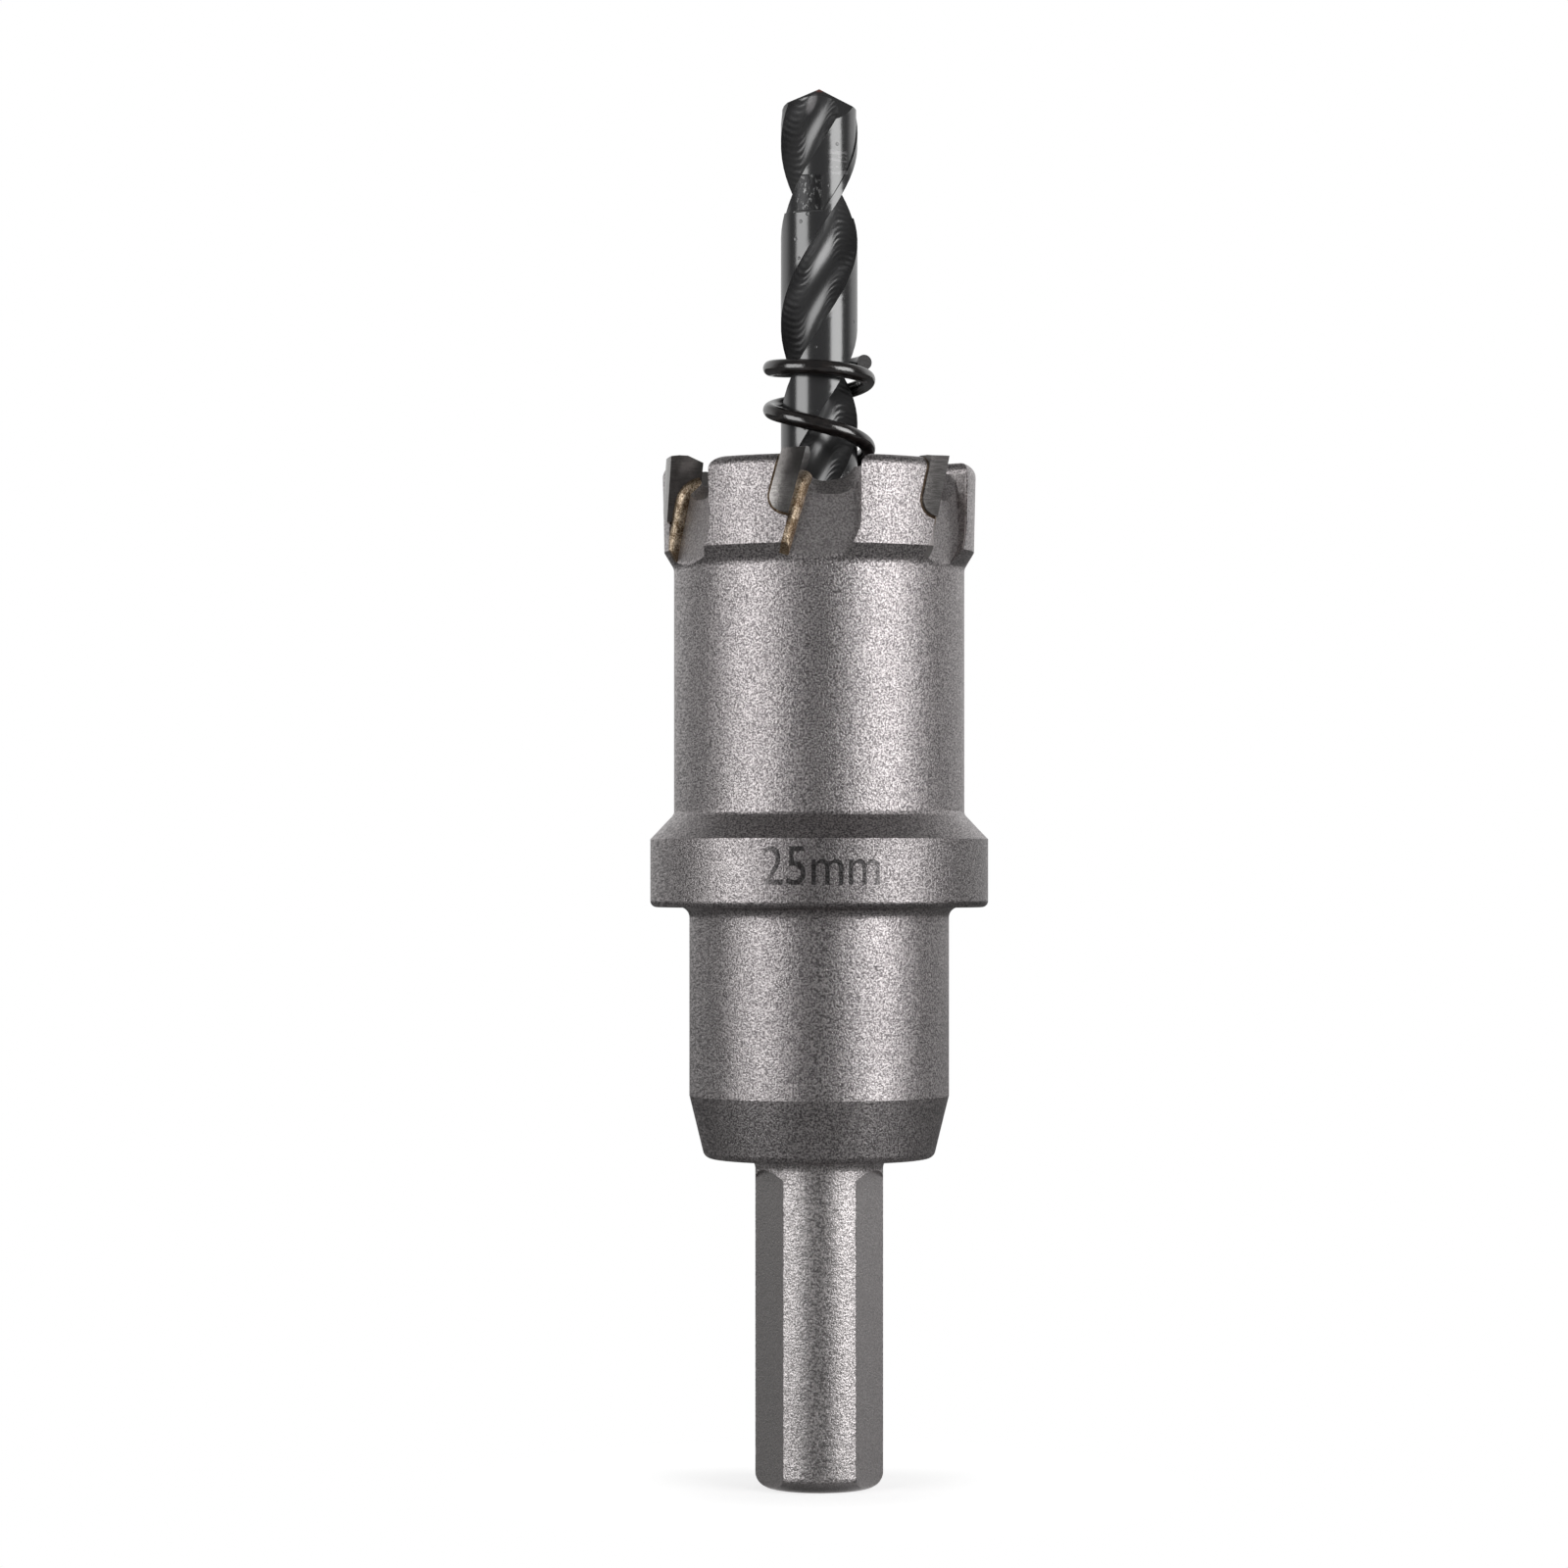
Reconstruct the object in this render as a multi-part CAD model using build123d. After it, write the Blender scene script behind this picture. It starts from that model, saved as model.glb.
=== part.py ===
"""Carbide-tipped hole cutter.

A steel body turned in one piece (cup, stop collar, hub and three-flat shank) carries six
brazed carbide teeth. A pilot drill sits in the hub's bore, held by a grub screw, and a coil
spring round the drill pushes the cut slug out of the cup.
"""

from build123d import *
import math
import os

# Frame: millimetres, +Z from the end of the shank to the point of the drill. The front
# faces -Y. An azimuth is in degrees from the front, positive towards +X, the way it cuts.

# Shank
SHANK_DIAMETER = 10.0
SHANK_LENGTH = 25.7
SHANK_END_ROUND = 1.2
SHANK_ROOT_FILLET = 0.8
SHANK_FLAT_COUNT = 3
SHANK_FLAT_AZIMUTH = 60.0
SHANK_FLAT_DEPTH = 0.51
SHANK_FLAT_LENGTH = 24.9
FLAT_CUTTER_RADIUS = 3.6

# Hub, between the shank and the collar
HUB_DIAMETER = 20.3
HUB_LENGTH = 19.6
HUB_NOSE_DIAMETER = 17.9
HUB_TAPER_LENGTH = 4.9
HUB_NOSE_ROUND = 0.7

# Stop collar
COLLAR_DIAMETER = 26.4
COLLAR_THICKNESS = 5.3
COLLAR_EDGE_ROUND = 0.5
COLLAR_ROOT_FILLET = 0.8
COLLAR_CONE_LENGTH = 1.95

# Cup
CUP_DIAMETER = 22.7
CUP_LENGTH = 19.15
CUP_BORE = 20.2
CUP_DEPTH = 27.8
CUP_FLOOR_FILLET = 0.8

# Rim, the thicker ring that carries the teeth
RIM_FOOT_DIAMETER = 24.2
RIM_DIAMETER = 24.5
RIM_STEP_LENGTH = 1.25
RIM_STEP_FILLET = 0.8
RIM_LENGTH = 6.8
RIM_EDGE_ROUND = 0.95

# Teeth: each opposite pair is (azimuth of the cutting edge, sweep of the gullet ahead of it,
# how far below the tallest it is ground)
TOOTH_PAIRS = [(-66.0, 21.7, 0.05), (-4.9, 19.6, 0.0), (53.0, 16.4, 0.28)]
CUTTING_DIAMETER = 25.0
TOOTH_STAND_OUT = 0.5
TOOTH_THICKNESS = 1.8
TOOTH_WIDTH = 2.65
TOOTH_LENGTH = 5.3
TOOTH_LEAN = 15.5
TOOTH_TILT = 5.0
TOOTH_HEEL_ROUND = 1.2
TOOTH_RELIEF_RADIUS = 11.0
TOOTH_SIDE_RELIEF = 6.0
TOOTH_TOP_RELIEF = 3.0
TOOTH_BACK_TAPER = 2.4
TOOTH_CORNER_DROP = 0.1
TOOTH_CORNER_WIDTH = 0.65
TOOTH_INNER_DROP = 0.5
TOOTH_INNER_WIDTH = 1.3

# Braze
BRAZE_GAP = 0.2
BRAZE_BEAD_RADIUS = 0.72
BRAZE_SHOULDER_DEPTH = 2.2
BRAZE_END_DEPTH = 1.95

# Gullets, each a flat pocket milled in the outside and a round slot through the wall above it
GULLET_TURN = 3.0
POCKET_RADIUS = 3.9
POCKET_DEPTH = 8.6
POCKET_FLOOR_DISTANCE = 11.37
POCKET_FLOOR_TILT = 5.0
SLOT_DEPTH = 3.1
SLOT_RADIUS = 1.95
SLOT_BACK_REACH = 1.15
SLOT_LIP_DISTANCE = 10.93
SLOT_SLOPE = 52.0
LAND_CORNER_ROUND = 0.9

# Pilot drill
DRILL_DIAMETER = 6.0
DRILL_LENGTH = 78.3
DRILL_SEAT_DEPTH = 21.0
DRILL_FIT_CLEARANCE = 0.02
DRILL_END_CHAMFER = 0.4
DRILL_HELIX_PITCH = 28.4
DRILL_WEB = 1.25
DRILL_FLUTE_RADIUS = 2.5
DRILL_FLUTE_LENGTH = 51.0
DRILL_RUN_OUT_LENGTH = 7.0
DRILL_RELIEVED_LENGTH = 9.9
DRILL_RELIEF_DEPTH = 0.1
DRILL_MARGIN_WIDTH = 0.7
DRILL_LAND_AT_FRONT = 8.1
DRILL_LIP_FALL = 22.5
DRILL_LIP_RELIEF = 21.8
DRILL_HEEL_FALL = 45.0
DRILL_HEEL_TURN = 121.0

# Grub screw that holds the drill
SCREW_DIAMETER = 5.0
SCREW_LENGTH = 6.0
SCREW_AZIMUTH = 180.0
SCREW_BELOW_FLOOR = 14.0
SCREW_CLEARANCE = 0.04
SCREW_POINT_CHAMFER = 0.8
SCREW_SOCKET_WIDTH = 2.5
SCREW_SOCKET_DEPTH = 2.5
DRILL_FLAT_DEPTH = 0.4
DRILL_FLAT_LENGTH = 9.0

# Ejector spring
SPRING_WIRE = 1.2
SPRING_COIL_DIAMETER = 8.8
SPRING_LENGTH = 36.7
SPRING_OPEN_PITCH = 6.1
SPRING_CLOSED_PITCH = 1.4
SPRING_CLOSED_TURNS = 0.55
SPRING_BLEND_TURNS = 1.0
SPRING_END_AZIMUTH = 110.0
SPRING_STEPS_PER_TURN = 16

# Heights along the tool, worked out from the lengths above
SHANK_RADIUS = SHANK_DIAMETER / 2
HUB_FOOT = SHANK_LENGTH
COLLAR_FOOT = HUB_FOOT + HUB_LENGTH
COLLAR_TOP = COLLAR_FOOT + COLLAR_THICKNESS
CUP_FOOT = COLLAR_TOP + COLLAR_CONE_LENGTH
RIM_STEP_FOOT = CUP_FOOT + CUP_LENGTH
RIM_FOOT = RIM_STEP_FOOT + RIM_STEP_LENGTH
RIM_TOP = RIM_FOOT + RIM_LENGTH
CUP_FLOOR = RIM_TOP - CUP_DEPTH
TOOTH_TOP = RIM_TOP + TOOTH_STAND_OUT
DRILL_FOOT = CUP_FLOOR - DRILL_SEAT_DEPTH
DRILL_TIP = DRILL_FOOT + DRILL_LENGTH
SCREW_HEIGHT = CUP_FLOOR - SCREW_BELOW_FLOOR

CUTTING_RADIUS = CUTTING_DIAMETER / 2
RIM_RADIUS = RIM_DIAMETER / 2
BORE_RADIUS = CUP_BORE / 2
DRILL_RADIUS = DRILL_DIAMETER / 2
DRILL_BORE_RADIUS = DRILL_RADIUS + DRILL_FIT_CLEARANCE
TOOTH_INNER = CUTTING_RADIUS - TOOTH_WIDTH
REACH = 2 * COLLAR_DIAMETER
ON_FOOT = (Align.CENTER, Align.CENTER, Align.MIN)


def at_azimuth(azimuth):
    """Turn something made at the front of the tool to its place round the axis."""
    return Rot(0, 0, azimuth)


def front_view():
    """X ahead (the way the tool turns), Y up the tool, Z outwards at the front."""
    return Plane.XZ.location


def tangent(degrees):
    """Slope of an angle in degrees."""
    return math.tan(math.radians(degrees))


# Body


def turned_blank():
    """The body before milling: one outline turned round the axis."""
    corners = [
        ((0, 0), 0),
        ((SHANK_RADIUS, 0), SHANK_END_ROUND),
        ((SHANK_RADIUS, HUB_FOOT), SHANK_ROOT_FILLET),
        ((HUB_NOSE_DIAMETER / 2, HUB_FOOT), HUB_NOSE_ROUND),
        ((HUB_DIAMETER / 2, HUB_FOOT + HUB_TAPER_LENGTH), 0),
        ((HUB_DIAMETER / 2, COLLAR_FOOT), COLLAR_ROOT_FILLET),
        ((COLLAR_DIAMETER / 2, COLLAR_FOOT), COLLAR_EDGE_ROUND),
        ((COLLAR_DIAMETER / 2, COLLAR_TOP), 0),
        ((CUP_DIAMETER / 2, CUP_FOOT), COLLAR_EDGE_ROUND),
        ((CUP_DIAMETER / 2, RIM_STEP_FOOT), RIM_STEP_FILLET),
        ((RIM_FOOT_DIAMETER / 2, RIM_FOOT), 0),
        ((RIM_RADIUS, RIM_TOP), RIM_EDGE_ROUND),
        ((BORE_RADIUS, RIM_TOP), 0),
        ((BORE_RADIUS, CUP_FLOOR), CUP_FLOOR_FILLET),
        ((DRILL_BORE_RADIUS, CUP_FLOOR), 0),
        ((DRILL_BORE_RADIUS, DRILL_FOOT), 0),
        ((0, DRILL_FOOT), 0),
    ]
    points = [point for point, _ in corners]
    radii = [radius for _, radius in corners]
    outline = FilletPolyline(*points, radius=radii, close=True)
    return revolve(Plane.XZ * make_face(outline), Axis.Z)


def shank_flat_cut():
    """What an end mill takes off for one chuck flat, with the mill's round at its end."""
    end = SHANK_FLAT_LENGTH - FLAT_CUTTER_RADIUS
    path = Pos(0, end / 2 - HUB_LENGTH / 2) * Rectangle(2 * FLAT_CUTTER_RADIUS, end + HUB_LENGTH)
    path += Pos(0, end) * Circle(FLAT_CUTTER_RADIUS)
    return extrude(front_view() * Pos(0, 0, SHANK_RADIUS - SHANK_FLAT_DEPTH) * path, SHANK_RADIUS)


def screw_hole_cut():
    """Radial hole from the drill's bore out through the side of the hub."""
    hole = Circle(SCREW_DIAMETER / 2 + SCREW_CLEARANCE)
    return at_azimuth(SCREW_AZIMUTH) * extrude(front_view() * Pos(0, SCREW_HEIGHT) * hole, HUB_DIAMETER)


# Teeth, seats and gullets. Each is made for a tooth at the front. The leaning frame has its
# origin on the axis at the height of the cutting edge, Y up along the leaning tooth and Z
# outwards. The rake frame is that frame tilted about the cutting corner, so that its XY
# plane crosses the tooth, X points ahead of the rake face and the face lies in its YZ plane.


def leaning_frame():
    """Place of the leaning frame."""
    return front_view() * Pos(0, TOOTH_TOP) * Rot(0, 0, -TOOTH_LEAN)


def rake_frame():
    """Place of the rake frame."""
    corner = Pos(0, 0, CUTTING_RADIUS)
    return leaning_frame() * corner * Rot(0, -TOOTH_TILT, 0) * corner.inverse()


def tooth_section(margin):
    """The tooth's side outline grown by a margin behind and below, with its rounded heel."""
    back = -TOOTH_THICKNESS - margin
    foot = -TOOTH_LENGTH - margin
    corners = [(back, TOOTH_LENGTH), (back, foot), (0, foot), (0, TOOTH_LENGTH)]
    outline = FilletPolyline(*corners, radius=[0, TOOTH_HEEL_ROUND + margin, 0, 0], close=True)
    return make_face(outline)


def tooth_block(margin):
    """The tooth's outline carried right through the wall of the cup."""
    return rake_frame() * extrude(tooth_section(margin), REACH)


def carbide_tooth(ground):
    """One tooth: relieved behind its cutting edge on top and outside, crowned on top."""
    block = extrude(Pos(0, 0, TOOTH_INNER) * tooth_section(0), TOOTH_WIDTH)
    crown = Polyline(
        (-REACH, TOOTH_INNER),
        (-TOOTH_INNER_DROP, TOOTH_INNER),
        (0, TOOTH_INNER + TOOTH_INNER_WIDTH),
        (0, CUTTING_RADIUS - TOOTH_CORNER_WIDTH),
        (-TOOTH_CORNER_DROP, CUTTING_RADIUS),
        (-REACH, CUTTING_RADIUS),
        close=True,
    )
    fall = math.radians(TOOTH_LEAN + TOOTH_TOP_RELIEF)
    backwards = (-math.cos(fall), -math.sin(fall), 0)
    under_crown = extrude(Plane.YZ * make_face(crown), 2 * TOOTH_THICKNESS, dir=backwards)
    under_crown = Pos(0, -ground) * under_crown
    relief = math.radians(TOOTH_SIDE_RELIEF)
    centre_ahead = TOOTH_RELIEF_RADIUS * math.sin(relief)
    centre_out = CUTTING_RADIUS - TOOTH_RELIEF_RADIUS * math.cos(relief)
    inside = Rot(90 + TOOTH_BACK_TAPER, 0, 0) * Cylinder(TOOTH_RELIEF_RADIUS, REACH)
    relieved = leaning_frame() * Pos(centre_ahead, 0, centre_out) * inside
    return rake_frame() * (block & under_crown) & relieved


def milled_outline(radius, bottom, near_side, far_side):
    """A level bottom between two upright sides, with round corners, open at the top."""
    corners = [
        (near_side, bottom),
        (far_side, bottom),
        (far_side, bottom + REACH),
        (near_side, bottom + REACH),
    ]
    return make_face(FilletPolyline(*corners, radius=[radius, radius, 0, 0], close=True))


def gullet_cut(sweep):
    """The space ahead of a tooth: pocket, slot and the rounded corner of the next land."""
    far_side = RIM_RADIUS * math.sin(math.radians(sweep - GULLET_TURN))

    pocket_bottom = RIM_TOP - POCKET_DEPTH - RIM_STEP_FOOT
    pocket_plane = Pos(0, RIM_STEP_FOOT, POCKET_FLOOR_DISTANCE) * Rot(-POCKET_FLOOR_TILT, 0, 0)
    pocket_face = milled_outline(POCKET_RADIUS, pocket_bottom, -REACH, far_side)
    pocket = extrude(front_view() * pocket_plane * pocket_face, CUTTING_RADIUS)

    start = BORE_RADIUS / 2
    rise = (SLOT_LIP_DISTANCE - start) * tangent(SLOT_SLOPE)
    slot_bottom = RIM_TOP - SLOT_DEPTH + rise
    slot_face = milled_outline(SLOT_RADIUS, slot_bottom, -SLOT_BACK_REACH, far_side)
    outwards = (0, -1, -tangent(SLOT_SLOPE))
    slot = extrude(front_view() * Pos(0, 0, start) * slot_face, CUTTING_DIAMETER, dir=outwards)

    corner = Pos(far_side, RIM_TOP) * Rectangle(2 * LAND_CORNER_ROUND, 2 * LAND_CORNER_ROUND)
    corner -= Pos(far_side + LAND_CORNER_ROUND, RIM_TOP - LAND_CORNER_ROUND) * Circle(LAND_CORNER_ROUND)
    rounding = extrude(front_view() * corner, CUTTING_DIAMETER)

    ahead = rake_frame() * Pos(REACH / 2, 0, REACH / 2) * Box(REACH, 2 * REACH, REACH)
    return at_azimuth(GULLET_TURN) * (pocket + slot + rounding) & ahead


def rake_face_point(height, distance):
    """The point of the rake face at a height and at a distance out in the gullet's frame."""
    turn = math.radians(GULLET_TURN)
    inwards = tangent(TOOTH_TILT) / math.cos(math.radians(TOOTH_LEAN))
    at_axis = inwards * CUTTING_RADIUS + (height - TOOTH_TOP) * tangent(TOOTH_LEAN)
    out = (distance - at_axis * math.sin(turn)) / (math.cos(turn) - inwards * math.sin(turn))
    return (at_axis - inwards * out, -out, height)


def braze_bead():
    """The braze in the corner ahead of the rake face, on through the bore, before trimming."""
    shoulder = RIM_TOP - BRAZE_SHOULDER_DEPTH
    rise = BRAZE_SHOULDER_DEPTH - BRAZE_END_DEPTH
    wall = SLOT_LIP_DISTANCE - BORE_RADIUS
    path = FilletPolyline(
        rake_face_point(RIM_STEP_FOOT, POCKET_FLOOR_DISTANCE),
        rake_face_point(shoulder, SLOT_LIP_DISTANCE),
        rake_face_point(shoulder + 3 * rise, SLOT_LIP_DISTANCE - 3 * wall),
        radius=2 * BRAZE_BEAD_RADIUS,
    )
    return sweep(Plane(path @ 0, z_dir=path % 0) * Circle(BRAZE_BEAD_RADIUS), path)


def braze_seam(blank, gullet):
    """The film between one tooth and its seat, with the bead where it ran out ahead."""
    film = tooth_block(BRAZE_GAP) - tooth_block(0)
    return (film + (braze_bead() & gullet)) & blank


# Pilot drill


def land_azimuth(height):
    """Where the middle of a land of the drill faces at a height; it turns right-handed."""
    return 360 * (height - DRILL_TIP + DRILL_LAND_AT_FRONT) / DRILL_HELIX_PITCH


def fluted_length(section, foot, top):
    """A twisted length of the drill; the section has its lands at the front and the back."""
    start = at_azimuth(land_azimuth(foot)) * Pos(0, 0, foot) * section
    turn = land_azimuth(top) - land_azimuth(foot)
    return Solid.extrude_linear_with_rotation(start.face(), (0, 0, foot), (0, 0, top - foot), turn)


def point_facet_cut(azimuth, outward_fall, backward_fall):
    """What is ground off above a plane through the point, falling outwards and backwards."""
    normal = (-tangent(backward_fall), -tangent(outward_fall), 1)
    plane = Plane((0, 0, DRILL_TIP), z_dir=normal)
    return at_azimuth(azimuth) * extrude(plane * Rectangle(REACH, REACH), REACH)


def pilot_drill():
    """Two-flute drill: plain shank with a flat for the screw, flutes, margins and point."""
    flute_distance = DRILL_WEB / 2 + DRILL_FLUTE_RADIUS
    flutes = Sketch() + [Pos(side * flute_distance, 0) * Circle(DRILL_FLUTE_RADIUS) for side in (-1, 1)]
    full = Circle(DRILL_RADIUS) - flutes

    flute_reach = DRILL_RADIUS**2 + flute_distance**2 - DRILL_FLUTE_RADIUS**2
    half_flute = math.degrees(math.acos(flute_reach / (2 * DRILL_RADIUS * flute_distance)))
    half_land = 90 - half_flute
    margin_back = half_land - math.degrees(DRILL_MARGIN_WIDTH / DRILL_RADIUS)
    cleared = Circle(DRILL_RADIUS - DRILL_RELIEF_DEPTH) - flutes
    for side in (0, 180):
        margin = Rot(0, 0, side - 90 + margin_back) * Rectangle(DRILL_RADIUS, DRILL_RADIUS, align=Align.MIN)
        cleared += margin & full

    flute_foot = DRILL_TIP - DRILL_FLUTE_LENGTH
    relief_foot = DRILL_TIP - DRILL_RELIEVED_LENGTH
    drill = Pos(0, 0, DRILL_FOOT) * Cylinder(DRILL_RADIUS, flute_foot - DRILL_FOOT, align=ON_FOOT)
    drill = chamfer(drill.edges().sort_by(Axis.Z)[0], DRILL_END_CHAMFER)
    drill += fluted_length(full, flute_foot, relief_foot)
    drill += fluted_length(cleared, relief_foot, DRILL_TIP)
    drill += Pos(0, 0, flute_foot) * Cone(DRILL_RADIUS, DRILL_WEB / 2, DRILL_RUN_OUT_LENGTH, align=ON_FOOT)

    lip_corner = DRILL_TIP - DRILL_RADIUS * tangent(DRILL_LIP_FALL)
    for side in (0, 180):
        lip = land_azimuth(lip_corner) + half_land + side
        drill -= point_facet_cut(lip, DRILL_LIP_FALL, DRILL_LIP_RELIEF)
        drill -= point_facet_cut(lip - DRILL_HEEL_TURN, DRILL_HEEL_FALL, 0)

    flat = Pos(0, SCREW_HEIGHT, DRILL_RADIUS - DRILL_FLAT_DEPTH) * Rectangle(DRILL_DIAMETER, DRILL_FLAT_LENGTH)
    return drill - at_azimuth(SCREW_AZIMUTH) * extrude(front_view() * flat, DRILL_RADIUS)


# Grub screw


def grub_screw():
    """Headless screw with a chamfered point on the drill's flat and a hexagon socket."""
    screw = Cylinder(SCREW_DIAMETER / 2, SCREW_LENGTH, align=ON_FOOT)
    screw = chamfer(screw.edges().sort_by(Axis.Z)[0], SCREW_POINT_CHAMFER)
    socket = RegularPolygon(SCREW_SOCKET_WIDTH / 2, 6, major_radius=False)
    screw -= Pos(0, 0, SCREW_LENGTH) * extrude(socket, -SCREW_SOCKET_DEPTH)
    seat = Pos(0, SCREW_HEIGHT, DRILL_RADIUS - DRILL_FLAT_DEPTH)
    return at_azimuth(SCREW_AZIMUTH) * front_view() * seat * screw


# Ejector spring


def eased_turns(turns):
    """Turns made at the open pitch after this many turns of easing from closed to open."""
    part = min(max(turns / SPRING_BLEND_TURNS, 0), 1)
    return SPRING_BLEND_TURNS * (part**3 - part**4 / 2) + max(turns - SPRING_BLEND_TURNS, 0)


def ejector_spring():
    """Left-hand coil spring on the cup floor, wound closer for a turn at either end."""
    extra = SPRING_OPEN_PITCH - SPRING_CLOSED_PITCH
    drop = SPRING_LENGTH - SPRING_WIRE
    ends = 2 * SPRING_CLOSED_TURNS + SPRING_BLEND_TURNS
    turns = (drop + extra * ends) / SPRING_OPEN_PITCH
    easing_out = turns - SPRING_CLOSED_TURNS - SPRING_BLEND_TURNS
    radius = (SPRING_COIL_DIAMETER - SPRING_WIRE) / 2
    steps = round(turns * SPRING_STEPS_PER_TURN)
    points = []
    for step in range(steps + 1):
        done = turns * step / steps
        open_turns = eased_turns(done - SPRING_CLOSED_TURNS) - eased_turns(done - easing_out)
        fall = SPRING_CLOSED_PITCH * done + extra * open_turns
        height = CUP_FLOOR + SPRING_WIRE / 2 + drop - fall
        angle = math.radians(SPRING_END_AZIMUTH + 360 * done)
        points.append((radius * math.sin(angle), -radius * math.cos(angle), height))
    path = Spline(*points)
    return sweep(Plane(path @ 0, z_dir=path % 0) * Circle(SPRING_WIRE / 2), path)


def save(shape, node):
    """Write one sub-part to its own file."""
    export_step(shape, f"parts/{node}.step")


os.makedirs("parts", exist_ok=True)

blank = turned_blank()
body = blank - screw_hole_cut()
for number in range(SHANK_FLAT_COUNT):
    body -= at_azimuth(SHANK_FLAT_AZIMUTH + number * 360 / SHANK_FLAT_COUNT) * shank_flat_cut()

opposite_teeth = [(azimuth + 180, *rest) for azimuth, *rest in TOOTH_PAIRS]
for number, (azimuth, sweep_angle, ground) in enumerate(TOOTH_PAIRS + opposite_teeth, 1):
    place = at_azimuth(azimuth)
    gullet = gullet_cut(sweep_angle)
    body -= place * gullet
    body -= place * tooth_block(BRAZE_GAP)
    save(place * carbide_tooth(ground), f"carbide_tooth_{number}")
    save(place * braze_seam(blank, gullet), f"braze_seam_{number}")

save(body, "cutter_body")
save(pilot_drill(), "pilot_drill")
save(grub_screw(), "grub_screw")
save(ejector_spring(), "ejector_spring")
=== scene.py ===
"""Looks of a carbide-tipped hole cutter: finishes, size mark, studio and camera."""

import math
from collections import namedtuple
from functools import cached_property

import bmesh
import bpy
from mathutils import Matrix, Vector


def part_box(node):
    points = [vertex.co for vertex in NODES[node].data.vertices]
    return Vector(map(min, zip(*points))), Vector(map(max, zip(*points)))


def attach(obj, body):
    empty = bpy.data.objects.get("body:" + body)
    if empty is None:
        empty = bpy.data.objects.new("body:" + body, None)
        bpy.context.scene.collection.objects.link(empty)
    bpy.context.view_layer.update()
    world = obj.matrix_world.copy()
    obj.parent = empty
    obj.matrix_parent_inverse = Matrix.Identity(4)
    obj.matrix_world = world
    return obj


bl_info = {
    "name": "Hole cutter looks",
    "version": (1, 0, 0),
    "blender": (4, 5, 0),
    "location": "3D View > Sidebar > Hole cutter",
    "description": "Finishes, size mark and studio for a carbide-tipped hole cutter",
    "category": "Object",
}

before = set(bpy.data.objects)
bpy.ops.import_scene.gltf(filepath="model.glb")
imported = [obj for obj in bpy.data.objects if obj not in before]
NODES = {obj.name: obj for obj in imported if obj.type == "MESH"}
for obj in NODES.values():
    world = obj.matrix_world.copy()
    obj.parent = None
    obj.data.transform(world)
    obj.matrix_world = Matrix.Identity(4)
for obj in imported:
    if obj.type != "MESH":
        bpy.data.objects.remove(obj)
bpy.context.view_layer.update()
TEETH = sorted(name for name in NODES if name.startswith("carbide_tooth"))
SEAMS = sorted(name for name in NODES if name.startswith("braze_seam"))

MM = 0.001

# Corners of the body and the drill in the frame, and the spring's two ends, in millimetres
BODY_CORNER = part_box("cutter_body")[1] / MM
DRILL_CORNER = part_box("pilot_drill")[1] / MM
SPRING_FOOT, SPRING_TOP = (corner.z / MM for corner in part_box("ejector_spring"))

# Levels on the tool's axis, in millimetres from the end of the shank. The spring stands on the cup's
# floor, and the drill's lands are cleared behind their margins from the step up.
HUB_FOOT = 25.7
COLLAR_FOOT = 45.3
COLLAR_TOP = 50.6
CUP_FLOOR = SPRING_FOOT
RIM_STEP_FOOT = 71.7
RIM_FOOT = 72.95
RIM_TOP = BODY_CORNER.z
DRILL_STEP = 99.35
DRILL_TIP = DRILL_CORNER.z

# Radii in millimetres
SHANK_RADIUS = 5.0
CUP_INSIDE_RADIUS = 10.1
CUP_RADIUS = 11.35
RIM_FOOT_RADIUS = 12.1
COLLAR_RADIUS = BODY_CORNER.x
DRILL_RADIUS = DRILL_CORNER.x

# Stretches round the axis, in radians from the front towards the right
LEFT_SIDE = (-2.1, -1.25)
MIDDLE_TOOTH = (-0.4, 0.0)
RIGHT_TOOTH = (0.5, 1.1)
FRONT_LAND = (-0.62, 0.0)
RIGHT_LAND = (0.35, 0.75)
WIRE_END = (math.radians(105), math.radians(110.5))

# Waves that add up to the ridges in the flutes: how many go round the drill, and the height of each
RIDGE_WAVES = ((27, 0.10), (41, 0.16), (66, 0.42))

# Tones that aren't among the properties
BLACK = (0.0, 0.0, 0.0)
WHITE = (1.0, 1.0, 1.0)
SATIN_DARK = (0.26, 0.244, 0.244)
SATIN_BRIGHT = (0.88, 0.83, 0.83)
# Milled flats: the left one painted darker as painted shade, the right one lighter as painted light
FLAT_SHADED_LEFT = (0.50, 0.475, 0.47)
FLAT_LIT_RIGHT = (0.68, 0.645, 0.645)
FLAT_HOLLOW = (0.2, 0.19, 0.19)
GULLET_DARK = (0.25, 0.235, 0.235)
GULLET_BRIGHT = (0.50, 0.47, 0.47)
# Painted highlight on the gullets' worn, rounded edges
WORN_EDGE_HIGHLIGHT = (0.95, 0.90, 0.90)
CUP_INSIDE = (0.45, 0.43, 0.42)
PIT = (0.05, 0.045, 0.045)
CARBIDE_DARK_TOP = (0.075, 0.07, 0.068)
CARBIDE_PALE = (0.62, 0.59, 0.58)
SCORCHED_FILM = (0.05, 0.034, 0.024)
BARE_FILM = (0.38, 0.355, 0.35)
SMUT_DARK = (0.045, 0.045, 0.046)
SMUT_SCRATCHED = (0.26, 0.26, 0.26)
SMEAR = (0.20, 0.195, 0.20)
# Painted highlight on the drill's point
POINT_HIGHLIGHT_TONE = (0.27, 0.26, 0.265)
RED_DOT = (0.22, 0.06, 0.045)
WIRE_BROWN = (0.022, 0.017, 0.015)
SCREW_DARK = (0.015, 0.015, 0.016)
SCREW_BRIGHT = (0.035, 0.034, 0.034)
MARK_CREST = (0.14, 0.135, 0.135)
FLOOR_SHADE = (0.68, 0.68, 0.68)
FLOOR_PAPER = (0.6, 0.6, 0.6)
FLOOR_DULL = (0.3, 0.3, 0.3)


# Shader building


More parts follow.
